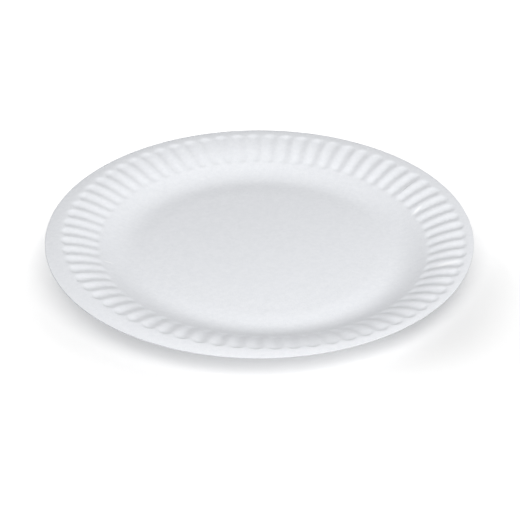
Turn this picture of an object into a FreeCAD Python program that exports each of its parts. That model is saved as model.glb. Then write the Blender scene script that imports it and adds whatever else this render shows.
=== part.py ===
import FreeCAD, Part
import math
import os

# Round plate pressed from one sheet, with a ring of hollow flutes in its rim.
# Millimetres. The origin is the centre of the cut edge, on the plane the plate rests on, +Z up.

# The sheet
plate_diameter = 228.6
sheet_thickness = 0.6

# The press stood a little off the middle of the cut disc, so the lip is wider at the front left
press_shift_x = 1.3
press_shift_y = 1.3

# Widths of the rings of the pressed section, from the edge inwards, measured level
lip_width = 6.1
flute_ring_width = 20.8
wall_ring_width = 13.0

# Slopes of the section, in degrees from level
wall_angle = 24.5
rim_angle = 17.3
lip_droop = 11.0

# Bends of the upper face
foot_radius = 11.0
lip_radius = 8.0

# Flutes
flute_count = 70
flute_depth = 0.8
ridge_width = 1.6
flute_end_angle = 50.0
flute_end_land = 0.6
flute_turn = -0.7

# How far a cut reaches past the face that it starts from
overcut = 0.25
under_block_depth = 15.0

# Rings, as radii about the axis of the press
plate_radius = plate_diameter / 2
flute_outer_radius = plate_radius - lip_width
flute_inner_radius = flute_outer_radius - flute_ring_width
foot_radius_from_axis = flute_inner_radius - wall_ring_width
press_axis = FreeCAD.Vector(press_shift_x, press_shift_y, 0)
press_shift = press_axis.Length
centre = FreeCAD.Vector(0, 0, 0)
up = FreeCAD.Vector(0, 0, 1)


def sine(degrees):
    return math.sin(math.radians(degrees))


def cosine(degrees):
    return math.cos(math.radians(degrees))


def tangent(degrees):
    return math.tan(math.radians(degrees))


# Level lengths that the bends leave for the straight parts
foot_bend_width = foot_radius * sine(wall_angle)
wall_width = wall_ring_width - foot_bend_width
lip_bend_width = lip_radius * (sine(rim_angle) + sine(lip_droop))
lip_slope_width = lip_width - lip_bend_width + press_shift + overcut
rim_length = flute_ring_width / cosine(rim_angle)

# Directions of the rim at the first flute, before the ring of flutes is turned
along = FreeCAD.Vector(cosine(rim_angle), 0, sine(rim_angle))
off = FreeCAD.Vector(-sine(rim_angle), 0, cosine(rim_angle))
side = FreeCAD.Vector(0, 1, 0)


class Section:
    """One skin of the sheet, drawn outwards from the axis as tangent arcs and lines.

    depth is how far the skin lies under the upper face, so both skins come from the same bends.
    """

    def __init__(self, depth):
        self.depth = depth
        self.point = FreeCAD.Vector(0, 0, sheet_thickness - depth)
        self.corners = [self.point]
        self.edges = []

    def add(self, edge, end):
        self.edges.append(edge)
        self.corners.append(end)
        self.point = end

    def line(self, slope, level_length):
        end = self.point + FreeCAD.Vector(level_length, 0, level_length * tangent(slope))
        self.add(Part.makeLine(self.point, end), end)

    def bend(self, slope, end_slope, radius):
        """An arc from one slope to the next. An upward bend has its centre above the sheet."""
        turn = 1 if end_slope > slope else -1
        skin_radius = radius + turn * self.depth

        def at_slope(angle):
            step = FreeCAD.Vector(sine(angle) - sine(slope), 0, cosine(slope) - cosine(angle))
            return self.point + step * (turn * skin_radius)

        end = at_slope(end_slope)
        arc = Part.Arc(self.point, at_slope((slope + end_slope) / 2), end)
        self.add(arc.toShape(), end)


def draw_skin(depth):
    """Level floor, foot bend, wall, straight rim for the flutes, and drooping lip."""
    skin = Section(depth)
    skin.line(0, foot_radius_from_axis)
    skin.bend(0, wall_angle, foot_radius)
    skin.line(wall_angle, wall_width)
    skin.rim_start = skin.point
    skin.line(rim_angle, flute_ring_width)
    skin.bend(rim_angle, -lip_droop, lip_radius)
    skin.line(-lip_droop, lip_slope_width)
    return skin


def block_under(skin):
    """Everything below a skin, turned about the axis of the press."""
    start = skin.corners[0]
    end = skin.corners[-1]
    corner_out = FreeCAD.Vector(end.x, 0, -under_block_depth)
    corner_in = FreeCAD.Vector(0, 0, -under_block_depth)
    closing = [Part.makeLine(end, corner_out), Part.makeLine(corner_out, corner_in)]
    closing.append(Part.makeLine(corner_in, start))
    face = Part.Face(Part.Wire(skin.edges + closing))
    return face.revolve(centre, up, 360)


def flute_section(station, pitch_radius, end_lean, depth):
    """Outline of a flute where it ends: a round hollow under a level line, in a sloping plane.

    station is the distance along the rim, and end_lean is 1 at the outer end and -1 at the inner.
    """
    half_width = math.pi * pitch_radius / flute_count - ridge_width / 2
    radius = (half_width ** 2 + flute_depth ** 2) / (2 * flute_depth)
    skin_radius = radius + depth
    top = overcut - depth
    half_top = math.sqrt(skin_radius ** 2 - (radius - flute_depth - top) ** 2)
    shift = end_lean * depth / sine(flute_end_angle)

    def place(across, height):
        slant = end_lean * height / tangent(flute_end_angle)
        return upper_skin.rim_start + along * (station + shift + slant) + off * height + side * across

    left = place(-half_top, top)
    right = place(half_top, top)
    bottom = place(0, -flute_depth - depth)
    return Part.Wire([Part.Arc(left, bottom, right).toShape(), Part.makeLine(right, left)])


def flute_tool(depth):
    """The hollow of one flute, ruled from its inner end to its wider outer end.

    depth is that of the skin that it cuts. The tool grows by as much, so the sheet keeps its
    thickness.
    """
    inner = flute_section(flute_end_land, flute_inner_radius, -1, depth)
    outer = flute_section(rim_length - flute_end_land, flute_outer_radius, 1, depth)
    return Part.makeLoft([inner, outer], True, True)


def flute_ring(depth):
    """One flute tool repeated about the axis of the press."""
    tool = flute_tool(depth)
    ring = []
    for number in range(flute_count):
        copy = tool.copy()
        copy.rotate(centre, up, flute_turn + 360 * number / flute_count)
        ring.append(copy)
    return ring


# The sheet lies between its two skins, each with its own ring of flutes
upper_skin = draw_skin(0)
lower_skin = draw_skin(sheet_thickness)
above = block_under(upper_skin).cut(flute_ring(0))
below = block_under(lower_skin).cut(flute_ring(sheet_thickness))
sheet = above.cut(below)
sheet.translate(press_axis)

# The cut edge is centred on the origin
disc = Part.makeCylinder(plate_radius, 4 * under_block_depth, up * (-2 * under_block_depth))
plate = sheet.common(disc).Solids[0]

print("plate valid", plate.isValid(), "faces", len(plate.Faces), "volume", round(plate.Volume, 1))
print("rim above the floor", round(lower_skin.rim_start.z, 2), "straight wall", round(wall_width, 2))

os.makedirs("parts", exist_ok=True)
plate.exportStep("parts/plate.step")
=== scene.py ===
import math

import bpy
import numpy as np
from mathutils import Euler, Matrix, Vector


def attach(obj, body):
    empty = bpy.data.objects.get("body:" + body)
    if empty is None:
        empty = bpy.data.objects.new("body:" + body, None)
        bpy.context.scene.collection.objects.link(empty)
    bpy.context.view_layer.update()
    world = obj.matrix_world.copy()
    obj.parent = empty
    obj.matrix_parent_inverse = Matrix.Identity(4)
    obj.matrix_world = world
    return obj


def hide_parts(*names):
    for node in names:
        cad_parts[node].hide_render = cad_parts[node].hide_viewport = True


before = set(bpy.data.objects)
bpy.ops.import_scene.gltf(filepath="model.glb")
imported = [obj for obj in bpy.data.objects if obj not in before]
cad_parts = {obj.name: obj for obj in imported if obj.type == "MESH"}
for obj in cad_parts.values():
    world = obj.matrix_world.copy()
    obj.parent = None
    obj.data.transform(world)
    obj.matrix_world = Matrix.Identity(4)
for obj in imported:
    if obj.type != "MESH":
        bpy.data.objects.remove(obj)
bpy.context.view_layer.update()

millimetre = 0.001


# Shader sums. A Wire is one output of a node, and + - * on it add Math nodes to the same material.
class Wire:
    def __init__(self, desk, end):
        self.desk = desk
        self.end = end

    def sum(self, kind, first, second):
        return self.desk.add("ShaderNodeMath", {"operation": kind}, {0: first, 1: second})

    def __add__(self, other):
        return self.sum("ADD", self, other)

    def __sub__(self, other):
        return self.sum("SUBTRACT", self, other)

    def __rsub__(self, other):
        return self.sum("SUBTRACT", other, self)

    def __mul__(self, other):
        return self.sum("MULTIPLY", self, other)

    __radd__ = __add__
    __rmul__ = __mul__


# The nodes of one material
class Desk:
    def __init__(self, name):
        self.material = bpy.data.materials.new(name)
        self.material.use_nodes = True
        self.tree = self.material.node_tree
        self.tree.nodes.clear()

    def add(self, kind, settings=None, sockets=None, out=0):
        # one node: its settings first, then each socket's value or link
        node = self.tree.nodes.new(kind)
        for name, value in (settings or {}).items():
            setattr(node, name, value)
        for name, value in (sockets or {}).items():
            if isinstance(value, Wire):
                self.tree.links.new(value.end, node.inputs[name])
            else:
                node.inputs[name].default_value = value
        return Wire(self, node.outputs[out]) if node.outputs else node

    def length(self, vector):
        return self.add("ShaderNodeVectorMath", {"operation": "LENGTH"}, {0: vector}, out=1)

    def mix(self, share, first, second):
        sockets = {"Factor": share, "A": first, "B": second}
        return self.add("ShaderNodeMix", {"data_type": "RGBA"}, sockets, out=2)

    def ramp(self, value, start, end, top=1, kind="LINEAR"):
        # 0 before the start, top past the end
        return self.add("ShaderNodeMapRange", {"interpolation_type": kind}, {
            "Value": value, "From Min": start, "From Max": end, "To Min": 0, "To Max": top})


# The pressed sheet, in millimetres and degrees
plateForm = dict(
    edgeRadius=114.3,          # the cut disc, centred on the origin
    pressShift=(2.1, 1.3),     # the press stood this far off the middle of the disc
    thickness=0.6,
    # radius from the press's axis and the slope there: floor, wall, rim, lip
    slopes=((0, 0), (30, -0.4), (61, -0.6), (63.8, -3.2), (68, -2.6), (71.3, 0),
            (75.4, 9.7), (78.9, 16.4), (82.4, 22.4), (85.7, 24.7), (88.6, 25.5), (91.4, 25.0),
            (97.2, 19.2), (102.9, 13.4), (106.3, 9.0), (108.4, 5.0), (110.2, 2.2), (112.6, 0), (117, -4)),
    slopeSteps=4000,           # steps that the slopes are summed in
    oval=1.4, ovalFrom=60,     # its diagonals are this much longer and shorter, in full from this radius out
    creaseRadius=62.9, creaseDepth=0.03, creaseWidth=0.8,
)
flutes = dict(
    count=70, inner=87.0, outer=108.4,
    turn=-0.25,                # of the whole ring
    uneven=0.13,               # their places swing this much either way, in flutes
    depth=0.86,                # at the outer end
    wider=0.4, widerPower=3,   # how much squarer the hollow gets towards its outer end
    innerRun=3.3,              # how far each end takes to climb out
    outerRun=3.4, outerPower=2,
    softness=0.07,             # rounds the corner where a flute meets the rim
    # these two swing once round the plate: the mean, the swing and the direction where it is most
    shallower=(2.4, 1.2, 200),     # power of the radius that the depth goes down by, inwards
    lean=(0.18, 0.18, 215),        # how far the inner ends lie behind the outer ones, in flutes
    leanPower=1.5,
    upright=0.28, uprightAt=270, uprightWidth=22,   # they stand straighter nearest the camera
)
# Rows of the mesh, as radii from the press's axis, closest where the sheet bends most
sheetRows = dict(
    floor=(15, 30, 42, 50, 55, 58, 60),
    crease=(61, 65, 10),       # from, to and how many
    foot=(67, 69),
    rim=(70, 71, 72.2, 73.6, 75, 76.5, 78, 79.6, 81.4, 83.5, 85.6, 86.4, 87.0, 87.6, 88.2, 88.8, 89.4, 90.2,
         91.5, 94, 97, 100, 102.5, 104, 104.9, 105.6, 106.2, 106.8, 107.4, 108.0, 108.6, 109.3),
    lip=(0.16, 0.34, 0.52, 0.7, 0.85, 0.96, 1.0),   # shares of the way from there to the cut edge
    perFlute=16,               # columns to one flute
    floorStep=8,               # the floor has every eighth column
)


def swing(angle, mean, most, direction):
    # mean + most * cosine of the angle from a direction
    return mean + most * np.cos(angle - math.radians(direction))


def slopedHeight(radius):
    # height of the upper face without flutes: the sum of the tangents of the slopes, out from the axis
    stops, degrees = np.array(plateForm["slopes"]).T
    fine = np.linspace(0, stops[-1], plateForm["slopeSteps"])
    steep = np.tan(np.radians(np.interp(fine, stops, degrees)))
    climb = np.concatenate([[0], np.cumsum((steep[1:] + steep[:-1]) / 2 * np.diff(fine))])
    climb -= climb.min()       # the plate stands on the lowest ring of its floor
    return plateForm["thickness"] + np.interp(radius, fine, climb), np.interp(radius, fine, steep)


def fluteDepth(radius, angle):
    # A wave round the rim, (1 + cosine) / 2 to a power, less (way into the outer end / its run) to a power.
    # A soft corner keeps it over 0, and it fades in over the inner end. The flutes lean round the plate, less
    # a bell curve round the front.
    f = flutes
    share = np.clip((radius - f["inner"]) / (f["outer"] - f["inner"]), 0, 1)
    offFront = 2 - 2 * np.cos(angle - math.radians(f["uprightAt"]))
    upright = f["upright"] * np.exp(-offFront / math.radians(f["uprightWidth"]) ** 2)
    lean = (swing(angle, *f["lean"]) - upright) * (1 - share) ** f["leanPower"]
    even = (angle - math.radians(f["turn"])) * f["count"] / (2 * np.pi)
    place = even + lean + f["uneven"] * np.cos(2 * angle)
    wave = ((1 + np.cos(2 * np.pi * place)) / 2) ** (1 - f["wider"] * share ** f["widerPower"])
    intoOuter = np.clip((radius - f["outer"] + f["outerRun"]) / f["outerRun"], 0, None)
    inside = wave - intoOuter ** f["outerPower"]
    soft = (inside + np.sqrt(inside ** 2 + f["softness"] ** 2)) / 2
    rise = np.clip((radius - f["inner"]) / f["innerRun"], 0, 1)
    fade = rise * rise * (3 - 2 * rise)
    return f["depth"] * (radius / f["outer"]) ** swing(angle, *f["shallower"]) * soft * fade


def creaseDepth(radius):
    # a shallow groove round the floor, a bell curve of the distance from its middle
    p = plateForm
    return p["creaseDepth"] * np.exp(-((radius - p["creaseRadius"]) / p["creaseWidth"]) ** 2)


def edgeDistance(angle):
    # from the press's axis to the cut edge, along each direction: where a ray leaves an off-centre circle
    x, y = plateForm["pressShift"]
    along = x * np.cos(angle) + y * np.sin(angle)
    return -along + np.sqrt(plateForm["edgeRadius"] ** 2 - x * x - y * y + along ** 2)


def skins(radius, angle):
    # Upper and lower points at each radius and angle about the press's axis, in metres. The form is read at
    # radius + oval * sine of twice the angle. The lower skin lies thickness / cosine of the slope below.
    p = plateForm
    x, y = p["pressShift"]
    pressed = radius + p["oval"] * np.sin(2 * angle) * np.clip(radius / p["ovalFrom"], 0, 1) ** 2
    height, steep = slopedHeight(pressed)
    top = height - fluteDepth(pressed, angle) - creaseDepth(pressed)
    under = np.maximum(top - p["thickness"] * np.sqrt(1 + steep ** 2), 0)
    across = x + radius * np.cos(angle)
    back = y + radius * np.sin(angle)
    return [np.stack([across, back, level], -1) * millimetre for level in (top, under)]


def gridFaces(ids):
    # four-sided faces between the rows of a grid that closes round the plate
    ahead = np.roll(ids, -1, 1)
    return np.stack([ids[:-1], ids[1:], ahead[1:], ahead[:-1]], -1).reshape(-1, 4)


def skinFaces(floorIds, rimIds):
    # a fan round the middle point, the floor, the finer rim, and a row that joins the two
    columns, fineColumns = floorIds.shape[1], rimIds.shape[1]
    ahead = np.roll(floorIds, -1, 1)
    fan = np.stack([np.full(columns, floorIds[0, 0] - 1), floorIds[0], ahead[0]], -1)
    step = fineColumns // columns
    steps = (np.arange(columns)[:, None] * step + np.arange(step + 1)) % fineColumns
    join = np.concatenate([ahead[-1][:, None], floorIds[-1][:, None], rimIds[0][steps]], 1)
    return [fan, gridFaces(floorIds), gridFaces(rimIds), join]


def plateMesh():
    # both skins as points by radius and angle, with the middle point first, and the cut edge between them
    rows = sheetRows
    columns = flutes["count"] * rows["perFlute"]
    angles = np.arange(columns) * 2 * np.pi / columns + math.radians(flutes["turn"])
    floorRadii = np.concatenate([rows["floor"], np.linspace(*rows["crease"]), rows["foot"]])
    lipStart = rows["rim"][-1]
    rim = np.repeat(np.array(rows["rim"])[:, None], columns, 1)
    lip = lipStart + np.array(rows["lip"])[:, None] * (edgeDistance(angles) - lipStart)
    rimRadii = np.concatenate([rim, lip])
    middleSkins = skins(np.zeros((1, 1)), np.zeros((1, 1)))
    floorSkins = skins(*np.meshgrid(floorRadii, angles[::rows["floorStep"]], indexing="ij"))
    rimSkins = skins(rimRadii, np.broadcast_to(angles, rimRadii.shape))

    points = []
    faces = []
    edges = []
    start = 0
    for upper, parts in zip((True, False), zip(middleSkins, floorSkins, rimSkins)):
        ids = []
        for part in parts:
            points.append(part.reshape(-1, 3))
            ids.append(start + np.arange(len(points[-1])).reshape(part.shape[:2]))
            start += len(points[-1])
        for group in skinFaces(*ids[1:]):
            faces += (group if upper else group[:, ::-1]).tolist()
        edges.append(ids[-1][-1])
    top, under = edges
    faces += np.stack([top, under, np.roll(under, -1), np.roll(top, -1)], -1).tolist()
    mesh = bpy.data.meshes.new("plateSheet")
    mesh.from_pydata(np.concatenate(points).tolist(), [], faces)
    mesh.update()
    mesh.shade_smooth()
    return mesh


# Pressed paperboard: a slightly cool white, mottled by its fibres
paper = dict(
    pale=(0.852, 0.865, 0.892, 1),
    grey=(0.780, 0.796, 0.826, 1),
    mottle=dict(Scale=420, Detail=3, Roughness=0.6),     # clouds of fibre about 2 mm across
    grain=dict(Scale=2400, Detail=2, Roughness=0.55),    # the fibres themselves
    mottleShare=0.42, grainShare=0.58, contrast=3.6,
    roughness=0.62, roughnessSpread=0.14,
    bumpHeight=0.00003, bumpStrength=0.5, mottleBump=0.8,
    specular=0.2,
    edgeShade=0.8, edgeBand=(0.12, 0.04),   # the cut edge is greyer, raw paper and painted shade, from and in full this far inside it
)
# Small painted highlights and painted shade: lighter and darker streaks on the plate
paintedLightMarks = dict(
    paintedHighlight=(0.96, 0.965, 0.975, 1),
    paintedShade=(0.25, 0.26, 0.28, 1),
    full=0.3,                  # share of its size within which a mark is at full strength
    # middle, degrees, half length and half width, and strength, with a minus for the darker painted shade
    places=(
        ((-80.1, -15.0), 4, 3.4, 0.6, 0.9),
        ((86.7, 33.5), 42, 5.0, 1.0, 0.8),
        ((98.0, -25.5), -2, 9.5, 1.6, 0.7),
        ((82.4, 53.9), 39, 8.5, 0.5, -0.35),
        ((-93.6, -45.7), 0, 0.9, 0.7, -0.5),
        ((111.9, -24.7), 75, 1.4, 0.6, -0.5),
    ),
)


def paintedLightShare(desk, where, middle, degrees, halfLength, halfWidth, strength):
    # the distance from the mark's middle, stretched so that its outline is at 1
    x, y = middle
    spot = desk.add("ShaderNodeMapping", {"vector_type": "TEXTURE"}, {
        "Vector": where,
        "Location": (x * millimetre, y * millimetre, 0),
        "Rotation": (0, 0, math.radians(degrees)),
        "Scale": (halfLength * millimetre, halfWidth * millimetre, 1)})
    return desk.ramp(desk.length(spot), 1, paintedLightMarks["full"], abs(strength))


def paperMaterial():
    desk = Desk("pressedPaper")
    where = desk.add("ShaderNodeTexCoord", out="Object")
    mottle = desk.add("ShaderNodeTexNoise", {}, {"Vector": where, **paper["mottle"]})
    grain = desk.add("ShaderNodeTexNoise", {}, {"Vector": where, **paper["grain"]})
    fibre = mottle * paper["mottleShare"] + grain * paper["grainShare"]
    tint = desk.mix((fibre - 0.5) * paper["contrast"] + 0.5, paper["grey"], paper["pale"])
    # painted highlights and painted shade, laid over the paper one streak at a time
    for place in paintedLightMarks["places"]:
        shade = paintedLightMarks["paintedHighlight"] if place[-1] > 0 else paintedLightMarks["paintedShade"]
        tint = desk.mix(paintedLightShare(desk, where, *place), tint, shade)
    # painted shade with the raw paper's grey: the cut edge is darker
    level = desk.add("ShaderNodeVectorMath", {"operation": "MULTIPLY"}, {0: where, 1: (1, 1, 0)})
    bandStart, bandFull = [(plateForm["edgeRadius"] - inside) * millimetre for inside in paper["edgeBand"]]
    rawEdgeAndShade = [value * paper["edgeShade"] for value in paper["grey"][:3]] + [1]
    tint = desk.mix(desk.ramp(desk.length(level), bandStart, bandFull), tint, rawEdgeAndShade)
    bump = desk.add("ShaderNodeBump", {}, {
        "Height": grain + mottle * paper["mottleBump"],
        "Strength": paper["bumpStrength"],
        "Distance": paper["bumpHeight"]})
    face = desk.add("ShaderNodeBsdfPrincipled", {}, {
        "Base Color": tint,
        "Roughness": (mottle - 0.5) * paper["roughnessSpread"] + paper["roughness"],
        "Specular IOR Level": paper["specular"],
        "Normal": bump})
    desk.add("ShaderNodeOutputMaterial", {}, {"Surface": face})
    return desk.material


# A white table top, seen only from above; it glows, painted light that keeps it white and paints the shadow's
# edges
floorLook = dict(
    size=6.0,
    joint=-1.0,                # the top is two boards, so that no edge of its faces runs under the plate
    colour=(0.71, 0.71, 0.71, 1), roughness=0.9, specular=0.1,
    glow=0.22,
    # painted light: what the glow gains, along which measure, from and to where, and how much
    paintedLightSteps=(
        ("back", -0.07, 0.09, 0.45),     # less of the lamp reaches the back
        ("away", 0.114, 0.155, 0.24),    # painted shadow: the glow rises so that the shadow ends a little way off the plate
        ("away", 0.14, 0.4, 0.6),
        ("right", 0.04, 0.11, -0.17),    # painted shadow: the glow is weaker on the right, and a little in front
        ("back", -0.05, -0.09, -0.05),
    ),
)


def floorMaterial():
    desk = Desk("whiteTable")
    look = floorLook
    where = desk.add("ShaderNodeTexCoord", out="Object")
    measures = dict(
        right=desk.add("ShaderNodeSeparateXYZ", {}, {0: where}, out=0),
        back=desk.add("ShaderNodeSeparateXYZ", {}, {0: where}, out=1),
        away=desk.length(where),
    )
    glow = look["glow"]
    # painted light and painted shadow on the table, one step at a time
    for measure, start, end, gain in look["paintedLightSteps"]:
        glow = glow + desk.ramp(measures[measure], start, end, gain, "SMOOTHSTEP")
    matt = desk.add("ShaderNodeBsdfPrincipled", {}, {
        "Base Color": look["colour"],
        "Roughness": look["roughness"],
        "Specular IOR Level": look["specular"],
        "Emission Color": desk.add("ShaderNodeCombineColor", {}, {0: glow, 1: glow, 2: glow}),
        "Emission Strength": 1.0})
    clear = desk.add("ShaderNodeBsdfTransparent")
    below = desk.add("ShaderNodeNewGeometry", out="Backfacing")
    both = desk.add("ShaderNodeMixShader", {}, {0: below, 1: matt, 2: clear})
    desk.add("ShaderNodeOutputMaterial", {}, {"Surface": both})
    return desk.material


def floorPiece():
    half = floorLook["size"] / 2
    joint = floorLook["joint"]
    front = [(-half, -half, 0), (joint, -half, 0), (half, -half, 0)]
    back = [(half, half, 0), (joint, half, 0), (-half, half, 0)]
    mesh = bpy.data.meshes.new("tableTop")
    mesh.from_pydata(front + back, [], [(0, 1, 4, 5), (1, 2, 3, 4)])
    mesh.materials.append(floorMaterial())
    piece = bpy.data.objects.new("tableTop", mesh)
    bpy.context.collection.objects.link(piece)


# The camera: high in front, with a long lens
cameraLook = dict(
    aim=(0, 0, 0.0122),        # middle of the lip
    distance=1.0859, elevation=31.86,
    lens=140.48, sensor=36,
    near=0.05, far=50,
    drop=0.739, sideways=0.00033,   # the plate sits above the picture's middle, and a hair to the left
)


def cameraPiece():
    look = cameraLook
    elevation = math.radians(look["elevation"])
    camera = bpy.data.cameras.new("camera")
    camera.lens = look["lens"]
    camera.sensor_width = look["sensor"]
    camera.clip_start = look["near"]
    camera.clip_end = look["far"]
    piece = bpy.data.objects.new("camera", camera)
    towards = Vector((0, -math.cos(elevation), math.sin(elevation)))
    piece.location = Vector(look["aim"]) + look["distance"] * towards
    piece.location.x += look["sideways"]
    piece.rotation_euler = Euler((math.radians(90 - look["elevation"] - look["drop"]), 0, 0))
    bpy.context.collection.objects.link(piece)
    bpy.context.scene.camera = piece


# One large soft box over the front, a little to the right, and an even white room
light = dict(
    softBox=dict(size=(1.1, 1.0), place=(0.135, -0.47, 0.575), aim=(0, 0, 0), power=9.92),
    room=0.10,
)


def softLights():
    look = light["softBox"]
    lamp = bpy.data.lights.new("softBox", "AREA")
    lamp.shape = "RECTANGLE"
    lamp.size, lamp.size_y = look["size"]
    lamp.energy = look["power"]
    piece = bpy.data.objects.new("softBox", lamp)
    piece.location = look["place"]
    facing = Vector(look["aim"]) - Vector(look["place"])
    piece.rotation_euler = facing.to_track_quat("-Z", "Y").to_euler()
    bpy.context.collection.objects.link(piece)
    world = bpy.data.worlds.new("room")
    bpy.context.scene.world = world
    world.use_nodes = True
    background = world.node_tree.nodes["Background"]
    background.inputs["Color"].default_value = (1, 1, 1, 1)
    background.inputs["Strength"].default_value = light["room"]


cameraPiece()
bpy.context.scene.view_settings.view_transform = "Standard"
print("camera placed")

sheetMesh = plateMesh()
sheetMesh.materials.append(paperMaterial())
sheet = bpy.data.objects.new("plateSheet", sheetMesh)
bpy.context.collection.objects.link(sheet)
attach(sheet, "root")
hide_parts("plate")
triangles = sum(len(face.vertices) - 2 for face in sheetMesh.polygons)
print("plate made:", len(sheetMesh.vertices), "points,", triangles, "triangles")

floorPiece()
softLights()
print("table and lights made")
